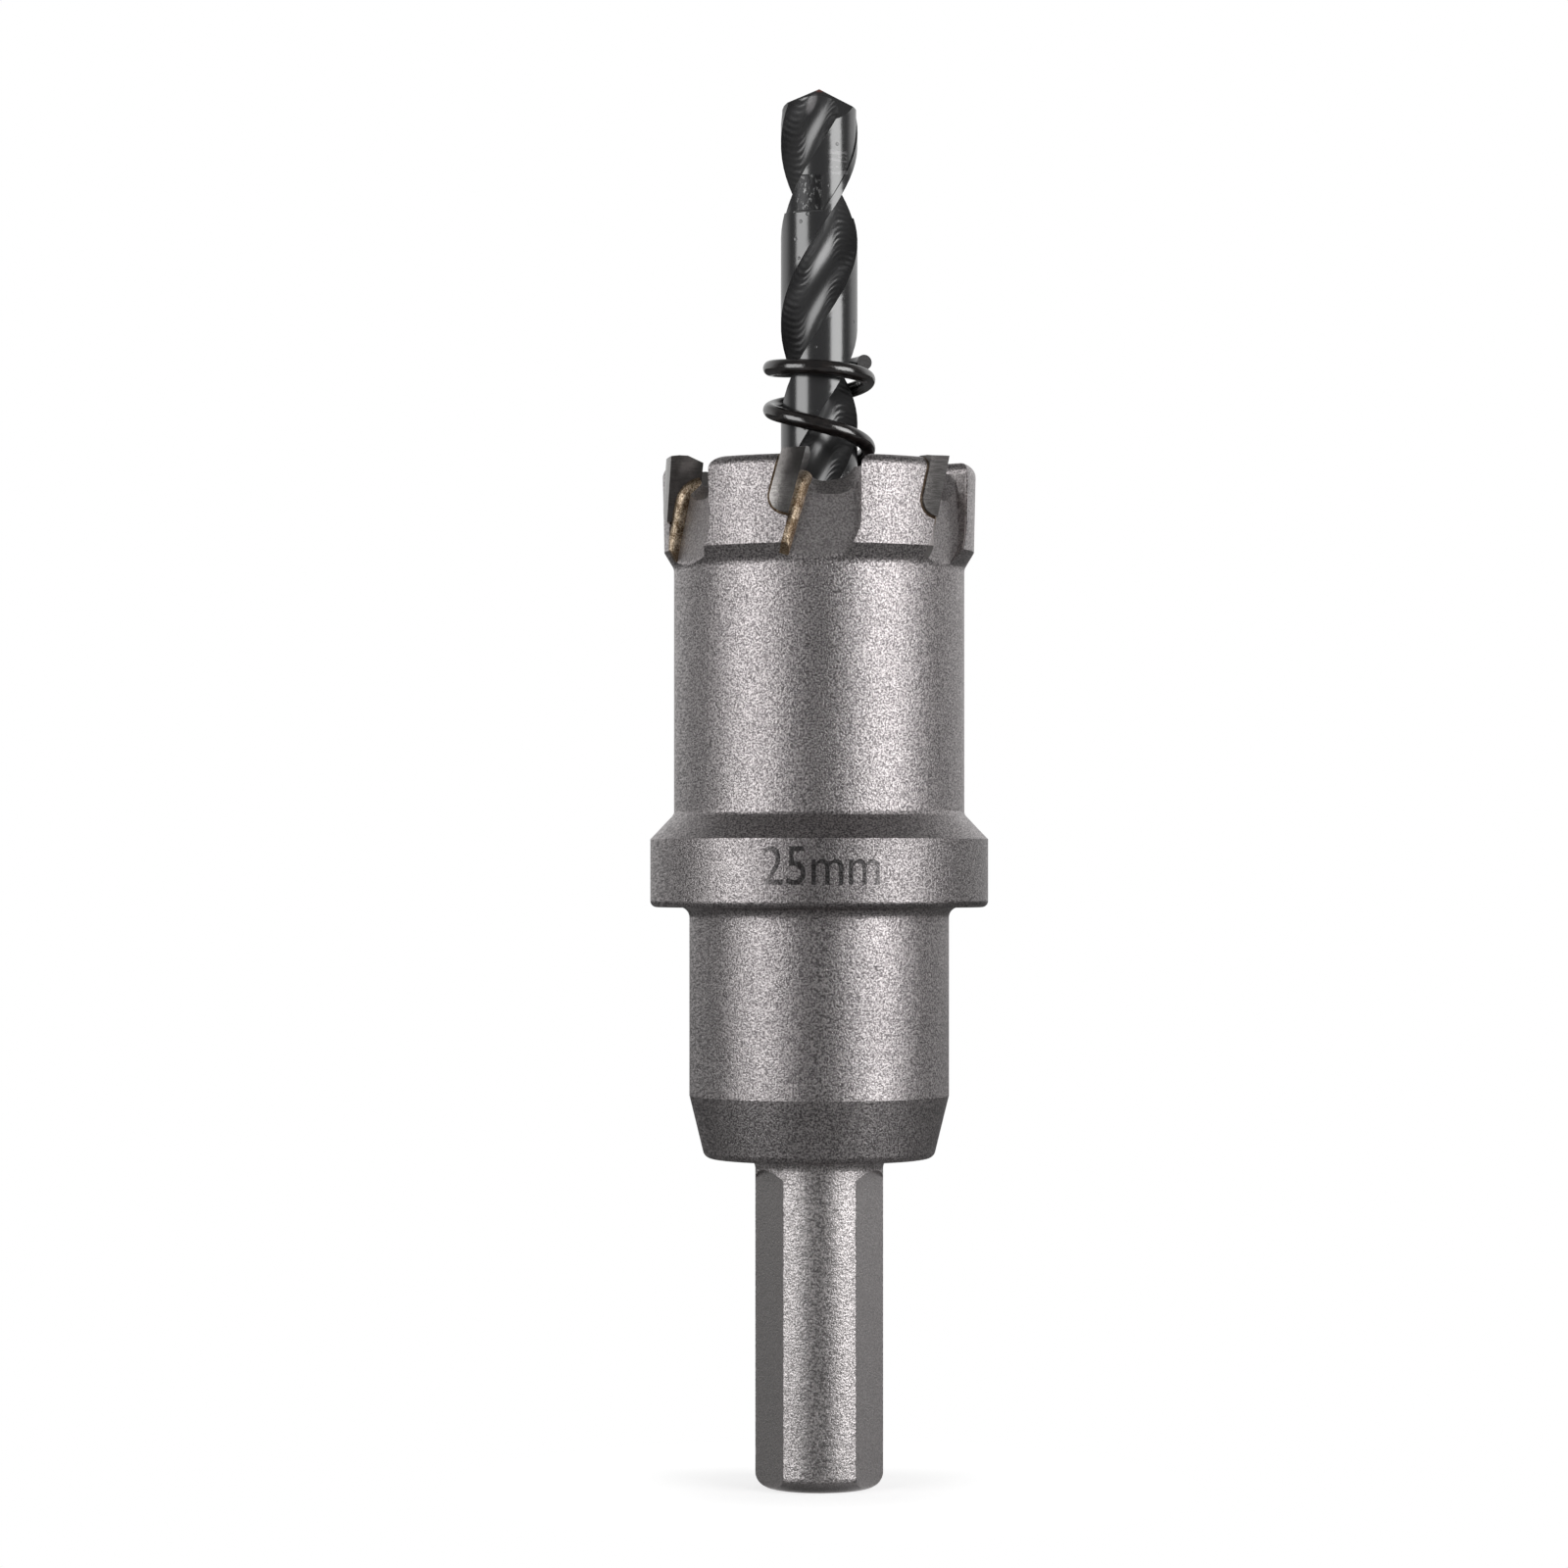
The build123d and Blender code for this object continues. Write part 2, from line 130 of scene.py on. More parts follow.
class Value:
    """A number, colour or vector in a material; arithmetic on numbers adds Math nodes."""

    def __init__(self, finish, socket):
        self.finish = finish
        self.socket = socket

    def sibling(self, output):
        """Another output of the same node."""
        return Value(self.finish, self.socket.node.outputs[output])

    def __add__(self, other):
        return self.finish.math("ADD", self, other)

    def __radd__(self, other):
        return self.finish.math("ADD", other, self)

    def __sub__(self, other):
        return self.finish.math("SUBTRACT", self, other)

    def __rsub__(self, other):
        return self.finish.math("SUBTRACT", other, self)

    def __mul__(self, other):
        return self.finish.math("MULTIPLY", self, other)

    def __rmul__(self, other):
        return self.finish.math("MULTIPLY", other, self)

    def __neg__(self):
        return self.finish.math("MULTIPLY", self, -1)

    def __abs__(self):
        return self.finish.math("ABSOLUTE", self)


class Finish:
    """One node tree being built, for a material or the world."""

    def __init__(self, tree):
        self.tree = tree
        tree.nodes.clear()

    def node(self, kind, settings=None, sockets=None, output=0):
        """Add a node, with its settings first and then the values or links of its sockets."""
        node = self.tree.nodes.new(kind)
        for name, value in (settings or {}).items():
            setattr(node, name, value)
        for name, value in (sockets or {}).items():
            if isinstance(value, Value):
                self.tree.links.new(value.socket, node.inputs[name])
            else:
                node.inputs[name].default_value = value
        return Value(self, node.outputs[output]) if node.outputs else None

    def math(self, operation, *operands):
        """One operation on numbers."""
        return self.node("ShaderNodeMath", {"operation": operation}, dict(enumerate(operands)))

    def ramp(self, value, first, last, start=0.0, end=1.0):
        """Ease from start to end while the value goes from first to last, which may be the lower one."""
        sockets = {"Value": value, "From Min": first, "From Max": last, "To Min": start, "To Max": end}
        return self.node("ShaderNodeMapRange", {"interpolation_type": "SMOOTHSTEP"}, sockets)

    def band(self, value, low, high, edge):
        """1 between low and high, easing to 0 over the edge outside them."""
        return self.ramp(value, low - edge, low) * self.ramp(value, high + edge, high)

    def mix(self, factor, first, second):
        """Blend two colours."""
        sockets = {0: factor, 6: rgba(first), 7: rgba(second)}
        return self.node("ShaderNodeMix", {"data_type": "RGBA"}, sockets, output=2)

    def split(self, vector):
        """The three parts of a vector."""
        x = self.node("ShaderNodeSeparateXYZ", None, {"Vector": vector}, "X")
        return x, x.sibling("Y"), x.sibling("Z")

    def noise(self, vector, size, detail=2.0, roughness=0.5):
        """Cloudy noise whose lumps are about this many millimetres across."""
        sockets = {"Vector": vector, "Scale": 1 / size, "Detail": detail, "Roughness": roughness}
        return self.node("ShaderNodeTexNoise", None, sockets)

    def cells(self, vector, size):
        """Distance to the nearest of scattered points, over their spacing of this many millimetres."""
        return self.node("ShaderNodeTexVoronoi", None, {"Vector": vector, "Scale": 1 / size})

    def bump(self, height, depth):
        """Bump normal for a height of 0 to 1 that stands for this many millimetres."""
        sockets = {"Height": height, "Distance": depth * MM, "Strength": 1.0}
        return self.node("ShaderNodeBump", None, sockets)

    def surface(self, sockets):
        """Principled surface as what the material shows."""
        self.show(self.node("ShaderNodeBsdfPrincipled", None, sockets))

    def show(self, shader, kind="ShaderNodeOutputMaterial"):
        """Link a shader to the tree's output."""
        self.node(kind, None, {"Surface": shader})


class Place:
    """Where a point of the surface lies, in millimetres from the middle of the shank's end."""

    def __init__(self, finish):
        self.finish = finish
        where = finish.node("ShaderNodeTexCoord", output="Object")
        sockets = {0: where, "Scale": 1 / MM}
        self.vector = finish.node("ShaderNodeVectorMath", {"operation": "SCALE"}, sockets)
        self.x, self.y, self.z = finish.split(self.vector)

    @cached_property
    def radius(self):
        """Distance from the tool's axis."""
        return self.finish.math("SQRT", self.x * self.x + self.y * self.y)

    @cached_property
    def azimuth(self):
        """Angle round the axis, in radians from the front towards the right."""
        return self.finish.math("ARCTAN2", self.x, -self.y)

    def scaled(self, across, along):
        """The vector multiplied across and along the tool's axis, to draw a texture out or squeeze it."""
        sockets = {0: self.vector, 1: (across, across, along)}
        return self.finish.node("ShaderNodeVectorMath", {"operation": "MULTIPLY"}, sockets)


def new_finish(name):
    """A material and the node tree to build it in."""
    material = bpy.data.materials.new(name)
    material.use_nodes = True
    return material, Finish(material.node_tree)


def dress(names, material):
    """Give CAD nodes a finish."""
    for name in names:
        for slot in NODES[name].material_slots:
            slot.material = material


def rgba(colour):
    """A colour as a socket takes it."""
    return colour if isinstance(colour, Value) else (*colour, 1.0)


# Body


Zones = namedtuple("Zones", "gullet inside shank flat blasted")


def rim_depth(f, at):
    """Depth under the outside of the cup and its stepped rim."""
    outside = f.ramp(at.z, RIM_STEP_FOOT, RIM_FOOT, CUP_RADIUS, RIM_FOOT_RADIUS)
    return outside - at.radius


def body_zones(f, at):
    """Where the body is gullet, inside of the cup, shank, milled flat or blasted, each from 0 to 1."""
    wall = f.ramp(at.radius, CUP_INSIDE_RADIUS, CUP_INSIDE_RADIUS + 0.08)
    above_cup = f.ramp(at.z, RIM_STEP_FOOT - 0.6, RIM_STEP_FOOT)
    below_top = f.ramp(at.z, RIM_TOP - 0.55, RIM_TOP - 1.15)
    gullet = f.ramp(rim_depth(f, at), 0.03, 0.16) * above_cup * below_top * wall
    above_floor = f.ramp(at.z, CUP_FLOOR + 0.55, CUP_FLOOR + 1.55)
    inside = f.ramp(at.radius, CUP_INSIDE_RADIUS + 0.05, CUP_INSIDE_RADIUS) * above_floor
    shank = f.ramp(at.z, HUB_FOOT + 0.1, HUB_FOOT - 0.2)
    flat = shank * f.ramp(at.radius, SHANK_RADIUS - 0.03, SHANK_RADIUS - 0.07)
    blasted = (1 - gullet) * (1 - inside) * (1 - flat)
    return Zones(gullet, inside, shank, flat, blasted)


def blasted_grain(f, at, props):
    """Height of the grain that the blasting left."""
    return f.noise(at.vector, props.grain_size, roughness=0.7)


def body_coat(f, at, zones, grain, props):
    """Height of the grain with the turning lines that show through it, most of all on the left."""
    lines = f.noise(at.scaled(0.3, 1), props.line_pitch, detail=1.0)
    all_round = f.ramp(at.z, COLLAR_TOP, COLLAR_FOOT, 0.04, 0.12)
    left = f.band(at.azimuth, *LEFT_SIDE, 0.35) * 0.4
    turned = all_round + left + zones.shank * (1 - zones.flat) * 0.1
    return grain * (1 - turned) + lines * turned


def grain_colour(f, height, dark, bright):
    """Dark hollows and bright crests of a blasted surface."""
    return f.mix(f.ramp(height, 0.38, 0.64), dark, bright)


def flat_colour(f, at, grain):
    """Milled flats of the shank, with dark hollows; the right flat is painted lighter and the left darker,
    as painted light and shade.
    """
    # Painted light and shade: darker towards the left, lighter towards the right
    painted_side_light = f.mix(f.ramp(at.x, -2.0, 2.0), FLAT_SHADED_LEFT, FLAT_LIT_RIGHT)
    return f.mix(f.ramp(grain, 0.35, 0.65, 0.45, 0.0), painted_side_light, FLAT_HOLLOW)


def gullet_edge_highlight(f, at):
    """Bright line along the edge between a gullet and the rim: a painted highlight on the worn, rounded
    edge.
    """
    return f.band(rim_depth(f, at), 0.05, 0.12, 0.03) * f.band(at.z, RIM_FOOT + 0.2, RIM_TOP - 1.45, 0.2)


def collar_painted_shade(f, at):
    """Share of black on the collar, painted shade that darkens it towards the right."""
    return f.band(at.z, COLLAR_FOOT, COLLAR_TOP, 0.1) * f.ramp(at.x, -8.0, 1.0, 0.0, 0.2)


def blasted_steel(props):
    """Body: turned, then bead blasted, with milled flats and gullets and a satin shank."""
    material, f = new_finish("blasted_steel")
    at = Place(f)
    zones = body_zones(f, at)
    grain = blasted_grain(f, at, props)
    coat = body_coat(f, at, zones, grain, props)
    mill = f.noise(at.scaled(1, 0.5), 0.2, roughness=0.6)
    cloud = f.noise(at.vector, 3.2, detail=3.0, roughness=0.6)
    pits = f.ramp(f.cells(at.vector, 3.6), 0.07, 0.03) * f.ramp(cloud, 0.48, 0.56) * zones.blasted

    colour = grain_colour(f, coat, props.dark_grain, props.bright_grain)
    colour = f.mix(zones.gullet, colour, f.mix(f.ramp(grain, 0.4, 0.62), GULLET_DARK, GULLET_BRIGHT))
    # Painted highlight along the gullets' worn edges
    colour = f.mix(gullet_edge_highlight(f, at) * f.ramp(cloud, 0.35, 0.5, 0.3, 0.8), colour, WORN_EDGE_HIGHLIGHT)
    colour = f.mix(zones.shank, colour, grain_colour(f, coat, SATIN_DARK, SATIN_BRIGHT))
    colour = f.mix(zones.flat, colour, flat_colour(f, at, grain))
    colour = f.mix(zones.inside, colour, CUP_INSIDE)
    # Painted shade, darker towards the right of the collar
    colour = f.mix(collar_painted_shade(f, at), colour, BLACK)
    colour = f.mix(pits * 0.7, colour, PIT)

    rough = zones.blasted * f.ramp(cloud, 0.3, 0.7, 0.35, 0.41)
    rough = rough + zones.gullet * 0.46 + zones.flat * 0.42 + zones.inside * 0.55
    height = zones.blasted * coat + (zones.gullet * 0.8 + zones.inside * 0.4) * mill
    height = height + zones.flat * grain * 0.6 - pits * 0.5
    normal = f.bump(height, props.grain_depth)
    f.surface({"Base Color": colour, "Metallic": 1.0, "Roughness": rough, "Normal": normal})
    return material


# Teeth and braze


def ground_carbide(props):
    """Teeth: dark sintered carbide with fine grinding lines, the middle tooth darker towards its top and
    the right one brighter.
    """
    material, f = new_finish("ground_carbide")
    at = Place(f)
    lines = f.noise(at.scaled(0.1, 1), 0.10, detail=1.0)
    dust = f.noise(at.vector, 0.16, roughness=0.6)
    cloud = f.noise(at.vector, 1.4)
    tone = f.ramp(cloud * 0.4 + lines * 0.35 + dust * 0.25, 0.38, 0.62)
    colour = f.mix(tone, props.carbide_dark, props.carbide)
    # The middle tooth darker towards its top
    dark_top = f.ramp(at.z, RIM_TOP - 2.95, RIM_TOP - 0.75) * f.band(at.azimuth, *MIDDLE_TOOTH, 0.05) * 0.7
    colour = f.mix(dark_top, colour, CARBIDE_DARK_TOP)
    # The right tooth brighter along its grinding lines
    pale_tooth = f.band(at.azimuth, *RIGHT_TOOTH, 0.05) * f.ramp(lines, 0.3, 0.7, 0.35, 0.75)
    colour = f.mix(pale_tooth, colour, CARBIDE_PALE)
    rough = f.ramp(cloud, 0.3, 0.7, 0.15, 0.2)
    normal = f.bump(lines * 0.7 + dust * 0.3, 0.008)
    f.surface({"Base Color": colour, "Metallic": 0.82, "Roughness": rough, "Normal": normal})
    return material


def run_braze(props):
    """Seams: braze that froze in fine bright crests and browned where it is thin."""
    material, f = new_finish("run_braze")
    at = Place(f)
    lumps = f.noise(at.vector, 0.6)
    specks = f.noise(at.vector, 0.11, roughness=0.75)
    patches = f.ramp(f.noise(at.vector, 1.5), 0.42, 0.56, 0.4, 1.0)
    clean = f.ramp(lumps * 0.3 + specks * 0.7, 0.40, 0.62) * patches
    film = f.ramp(rim_depth(f, at), 0.25, 0.05)
    low = f.ramp(at.z, RIM_FOOT + 2.05, RIM_FOOT + 1.35)
    colour = f.mix(clean, props.braze_dark, props.braze)
    colour = f.mix(film * (1 - low) * 0.85, colour, SCORCHED_FILM)
    colour = f.mix(film * low * f.ramp(at.azimuth, 0.3, 0.6), colour, BARE_FILM)
    rough = f.ramp(clean, 0.0, 1.0, 0.5, 0.32)
    normal = f.bump(lumps * 0.2 + specks * 0.8, 0.05)
    f.surface({"Base Color": colour, "Metallic": 1.0, "Roughness": rough, "Normal": normal})
    return material


# Pilot drill, spring and screw


def flute_ridges(f, at, props):
    """Height of the ridges that the cutter left in the flutes."""
    turn = math.tau / props.ridge_lead
    ridges = 0.0
    for count, share in RIDGE_WAVES:
        phase = at.azimuth * count - at.z * (count * turn)
        ridges = ridges + f.math("SINE", phase) * share
    return ridges


def scratches(f, at):
    """Short scratches along the drill."""
    return f.ramp(f.noise(at.scaled(2, 1), 0.5, detail=3.0, roughness=0.7), 0.56, 0.66)


def land_smear(f, at):
    """Pale smear on the right land, above the worn patch."""
    streaks = f.ramp(f.noise(at.scaled(0.3, 1), 0.3, detail=1.0), 0.46, 0.56)
    place = f.band(at.z, DRILL_STEP + 2.95, DRILL_STEP + 4.55, 0.3) * f.band(at.azimuth, *RIGHT_LAND, 0.15)
    return streaks * place


def painted_point_highlight(f, at):
    """Leaning oval on the front of the drill's point, lightened as a painted highlight."""
    rise = at.z - (DRILL_TIP - 1.25)
    aside = at.x + 0.6 - rise * 0.35
    return f.ramp(aside * aside * 5.0 + rise * rise, 0.9, 0.0) * f.ramp(at.y, 0.2, -0.2)


def black_drill(props):
    """Drill: glossy black oxide with ridges in the flutes, wear on its lands, a painted highlight on its
    point, and a red dot.
    """
    material, f = new_finish("black_oxide_drill")
    at = Place(f)
    smut = f.noise(at.vector, 0.3, detail=3.0, roughness=0.7)
    land = f.ramp(at.radius, DRILL_RADIUS - 0.2, DRILL_RADIUS - 0.12)
    front = f.band(at.azimuth, *FRONT_LAND, 0.15) * land
    patch = f.band(at.z, DRILL_STEP + 0.1, DRILL_STEP + 2.75, 0.1) * front
    step = f.band(at.z, DRILL_STEP - 0.05, DRILL_STEP + 0.01, 0.06) * front
    marks = f.ramp(f.cells(at.vector, 1.0), 0.15, 0.08) * f.ramp(f.noise(at.vector, 2.5), 0.47, 0.55) * land
    ridges = flute_ridges(f, at, props) * f.ramp(at.radius, 0.9, 1.6) * (1 - land)
    dot = f.ramp(at.radius, 0.45, 0.25) * f.ramp(at.z, DRILL_TIP - 0.35, DRILL_TIP - 0.15)

    colour = f.mix(patch, props.oxide, f.mix(scratches(f, at), SMUT_DARK, SMUT_SCRATCHED))
    colour = f.mix(land_smear(f, at) * land * 0.7, colour, SMEAR)
    # Painted highlight on the front of the point
    colour = f.mix(painted_point_highlight(f, at) * f.ramp(smut, 0.2, 0.6, 0.6, 1.0), colour, POINT_HIGHLIGHT_TONE)
    colour = f.mix(dot * 0.7, colour, RED_DOT)

    rough = 0.2 + patch * 0.2 + (1 - land) * 0.09 + marks * 0.15 + step * 0.4
    normal = f.bump(ridges + smut * (patch * 2.0 + 0.05) - marks - step * 2.0, 0.02)
    metal = patch * 0.9
    f.surface({"Base Color": colour, "Metallic": metal, "Roughness": rough, "IOR": 2.0, "Normal": normal})
    return material


def oiled_wire(props):
    """Spring: drawn wire, oil blackened, slightly brown, with a dull cut end."""
    material, f = new_finish("oiled_wire")
    at = Place(f)
    streak = f.noise(at.scaled(2, 4), 1.2, detail=3.0, roughness=0.6)
    dust = f.noise(at.vector, 0.12)
    end = f.band(at.azimuth, *WIRE_END, 0.01) * f.ramp(at.z, SPRING_TOP - 2.65, SPRING_TOP - 2.15)
    colour = f.mix(f.ramp(streak, 0.4, 0.7), props.wire, WIRE_BROWN)
    rough = f.ramp(streak, 0.35, 0.7, 0.12, 0.22) + end * 0.5
    normal = f.bump(dust * (1 + end * 8), 0.006)
    f.surface({"Base Color": colour, "Roughness": rough, "IOR": 2.0, "Normal": normal})
    return material


def black_screw():
    """Grub screw: black oxide, duller than the drill."""
    material, f = new_finish("black_oxide_screw")
    smut = f.noise(Place(f).vector, 0.4, detail=3.0, roughness=0.6)
    colour = f.mix(smut, SCREW_DARK, SCREW_BRIGHT)
    rough = f.ramp(smut, 0.3, 0.7, 0.3, 0.45)
    f.surface({"Base Color": colour, "Roughness": rough, "IOR": 1.9, "Normal": f.bump(smut, 0.01)})
    return material


# Size mark


def etched_mark(props):
    """Size mark: dull grey etch, broken up by the blasted grain and worn at both ends."""
    material, f = new_finish("etched_mark")
    at = Place(f)
    grain = blasted_grain(f, at, props)
    etched = grain_colour(f, grain, props.mark_colour, MARK_CREST)
    steel = grain_colour(f, grain, props.dark_grain, props.bright_grain)
    worn = f.ramp(at.x, -2.9, -4.3, 0.0, 0.35) + f.ramp(at.x, 2.6, 5.0, 0.0, 0.25)
    colour = f.mix(worn, etched, steel)
    normal = f.bump(grain, props.grain_depth * 0.7)
    f.surface({"Base Color": colour, "Metallic": 1.0, "Roughness": 0.42, "Normal": normal})
    return material


def wrapped_text(props):
    """Flat letters, cut into narrow strips and laid round the collar."""
    # Height of the font's capitals over its size
    capital_share = 0.6829
    strip = 0.15 * MM
    stand_off = 0.006 * MM
    curve = bpy.data.curves.new("size_mark", "FONT")
    curve.body = props.text
    curve.size = props.height / capital_share
    text = bpy.data.objects.new("size_mark_text", curve)
    bpy.context.scene.collection.objects.link(text)
    bpy.context.view_layer.update()
    mesh = bpy.data.meshes.new_from_object(text)
    bpy.data.objects.remove(text)

    bm = bmesh.new()
    bm.from_mesh(mesh)
    width = max(vert.co.x for vert in bm.verts)
    for number in range(1, int(width / strip) + 1):
        geometry = bm.verts[:] + bm.edges[:] + bm.faces[:]
        bmesh.ops.bisect_plane(bm, geom=geometry, plane_co=(number * strip, 0, 0), plane_no=(1, 0, 0))
    radius = COLLAR_RADIUS * MM + stand_off
    for vert in bm.verts:
        angle = (vert.co.x * props.condense + props.start) / radius
        vert.co = Vector((radius * math.sin(angle), -radius * math.cos(angle), props.foot + vert.co.y))
    bmesh.ops.recalc_face_normals(bm, faces=bm.faces[:])
    bm.to_mesh(mesh)
    bm.free()
    mesh.materials.clear()
    mark = bpy.data.objects.new("size_mark", mesh)
    bpy.context.scene.collection.objects.link(mark)
    return mark


# Studio


def pale_floor():
    """White to the camera with the tool's shadow near its foot, dull to other rays, and clear from below.

    Light passes through it under the shank, so that the shank's end is lit. Radii are in millimetres.
    """
    shadow_reach = 30.0
    shadow_core = 6.0
    material, f = new_finish("pale_floor")
    radius = Place(f).radius
    near = f.ramp(radius, shadow_reach, shadow_core)
    camera_ray = f.node("ShaderNodeLightPath", output="Is Camera Ray")
    shade = f.node("ShaderNodeEmission", None, {"Color": f.mix(near, WHITE, FLOOR_SHADE), "Strength": 1.0})
    paper = f.node("ShaderNodeBsdfDiffuse", None, {"Color": rgba(FLOOR_PAPER)})
    shadowed = f.node("ShaderNodeAddShader", None, {0: shade, 1: paper})
    white = f.node("ShaderNodeEmission", None, {"Color": rgba(WHITE), "Strength": 1.0})
    shown = f.node("ShaderNodeMixShader", None, {0: near, 1: white, 2: shadowed})
    dull = f.node("ShaderNodeBsdfDiffuse", None, {"Color": rgba(FLOOR_DULL)})
    above = f.node("ShaderNodeMixShader", None, {0: camera_ray, 1: dull, 2: shown})
    clear = f.node("ShaderNodeBsdfTransparent")
    from_below = f.node("ShaderNodeNewGeometry", output="Backfacing")
    hole = f.ramp(radius, SHANK_RADIUS + 0.1, SHANK_RADIUS) * (1 - camera_ray)
    f.show(f.node("ShaderNodeMixShader", None, {0: from_below + hole, 1: above, 2: clear}))
    return material


def floor():
    """Square floor just under the tool, so that the two don't touch, in metres."""
    reach = 3.0
    level = -0.02 * MM
    corners = [(x * reach, y * reach, level) for x, y in ((-1, -1), (1, -1), (1, 1), (-1, 1))]
    mesh = bpy.data.meshes.new("floor")
    mesh.from_pydata(corners, [], [(0, 1, 2, 3)])
    mesh.materials.append(pale_floor())
    obj = bpy.data.objects.new("floor", mesh)
    bpy.context.scene.collection.objects.link(obj)


def studio_world(scene):
    """White background; metal sees a pale wall behind the tool, and a dim room in front."""
    room = 0.1
    wall_left = 0.65
    wall_right = 0.78
    world = bpy.data.worlds.new("studio")
    scene.world = world
    world.use_nodes = True
    f = Finish(world.node_tree)
    x, y, z = f.split(f.node("ShaderNodeTexCoord", output="Generated"))
    behind = f.ramp(y, 0.05, 0.55) * f.ramp(abs(z), 0.9, 0.35)
    seen = behind * f.ramp(x, -0.9, 0.9, wall_left, wall_right) + room
    camera_ray = f.node("ShaderNodeLightPath", output="Is Camera Ray")
    strength = camera_ray + (1 - camera_ray) * seen
    background = f.node("ShaderNodeBackground", None, {"Color": rgba(WHITE), "Strength": strength})
    f.show(background, "ShaderNodeOutputWorld")


def softbox(props, side, spread, radiance):
    """Tall softbox level with the tool, on one side of the camera, in metres."""
    middle_level = 0.062
    half_height = props.distance * math.tan(math.radians(32))
    light = bpy.data.lights.new("softbox", "AREA")
    light.shape = "RECTANGLE"
    light.size = 2 * props.distance * math.tan(spread / 2)
    light.size_y = 2 * half_height
    light.energy = radiance * math.pi * light.size * light.size_y
    obj = bpy.data.objects.new("softbox", light)
    bpy.context.scene.collection.objects.link(obj)
    azimuth = side * (props.inner_edge + spread / 2)
    aside = Vector((math.sin(azimuth), -math.cos(azimuth), 0)) * props.distance
    obj.location = aside + Vector((0, 0, middle_level))
    obj.rotation_euler = (-aside).to_track_quat("-Z", "Y").to_euler()
    obj.visible_camera = False


def camera(scene):
    """Level camera at the distance and height that the photograph was taken from, in metres."""
    distance = 0.351
    height = 0.0478
    aside = -0.00275
    width_at_axis = 0.1226
    photo_pixels = 1600
    horizon_pixels_below_middle = 93
    data = bpy.data.cameras.new("camera")
    data.lens = data.sensor_width * distance / width_at_axis
    data.shift_y = horizon_pixels_below_middle / photo_pixels
    data.clip_start = 0.01
    obj = bpy.data.objects.new("camera", data)
    scene.collection.objects.link(obj)
    obj.location = (aside, -distance, height)
    obj.rotation_euler = (math.pi / 2, 0, 0)
    scene.camera = obj


# Properties


class FinishProperties(bpy.types.PropertyGroup):
    """Grain and tones of the finishes"""

    grain_size: bpy.props.FloatProperty(
        name="Grain size", description="Size of the blasted grain in millimetres",
        default=0.14, unit="NONE",
    )
    grain_depth: bpy.props.FloatProperty(
        name="Grain depth", description="Depth of the blasted grain in millimetres",
        default=0.046, unit="NONE",
    )
    line_pitch: bpy.props.FloatProperty(
        name="Line pitch", description="Height of the turning lines in millimetres",
        default=0.17, unit="NONE",
    )
    bright_grain: bpy.props.FloatVectorProperty(
        name="Bright grain", description="Colour of the blasted steel's crests",
        subtype="COLOR", default=(0.66, 0.618, 0.62),
    )
    dark_grain: bpy.props.FloatVectorProperty(
        name="Dark grain", description="Colour of the blasted steel's hollows",
        subtype="COLOR", default=(0.17, 0.156, 0.159),
    )
    carbide: bpy.props.FloatVectorProperty(
        name="Carbide", description="Colour of the ground carbide",
        subtype="COLOR", default=(0.27, 0.258, 0.25),
    )
    carbide_dark: bpy.props.FloatVectorProperty(
        name="Carbide shade", description="Darker tone of the carbide",
        subtype="COLOR", default=(0.17, 0.162, 0.157),
    )
    braze: bpy.props.FloatVectorProperty(
        name="Braze", description="Colour of clean braze",
        subtype="COLOR", default=(0.80, 0.66, 0.50),
    )
    braze_dark: bpy.props.FloatVectorProperty(
        name="Scorched braze", description="Colour of browned braze",
        subtype="COLOR", default=(0.13, 0.082, 0.043),
    )
    oxide: bpy.props.FloatVectorProperty(
        name="Black oxide", description="Colour of the drill",
        subtype="COLOR", default=(0.032, 0.032, 0.033),
    )
    ridge_lead: bpy.props.FloatProperty(
        name="Ridge lead", description="Rise in one turn of the flutes' milling ridges in millimetres",
        default=15.0, unit="NONE",
    )
    wire: bpy.props.FloatVectorProperty(
        name="Spring wire", description="Colour of the spring",
        subtype="COLOR", default=(0.010, 0.008, 0.008),
    )
    mark_colour: bpy.props.FloatVectorProperty(
        name="Size mark", description="Colour of the etched size mark",
        subtype="COLOR", default=(0.05, 0.046, 0.047),
    )


class MarkProperties(bpy.types.PropertyGroup):
    """Text, size and place of the size mark"""

    text: bpy.props.StringProperty(
        name="Text", description="Cutting diameter etched on the collar",
        default="25mm",
    )
    height: bpy.props.FloatProperty(
        name="Letter height", description="Height of the capitals",
        default=0.0029, unit="LENGTH",
    )
    start: bpy.props.FloatProperty(
        name="Start", description="Distance of the mark's left end from the front, round the collar",
        default=-0.0046, unit="LENGTH",
    )
    foot: bpy.props.FloatProperty(
        name="Foot", description="Height of the mark's baseline",
        default=0.04708, unit="LENGTH",
    )
    condense: bpy.props.FloatProperty(
        name="Condense", description="Width of the letters over their normal width",
        default=0.87, unit="NONE",
    )


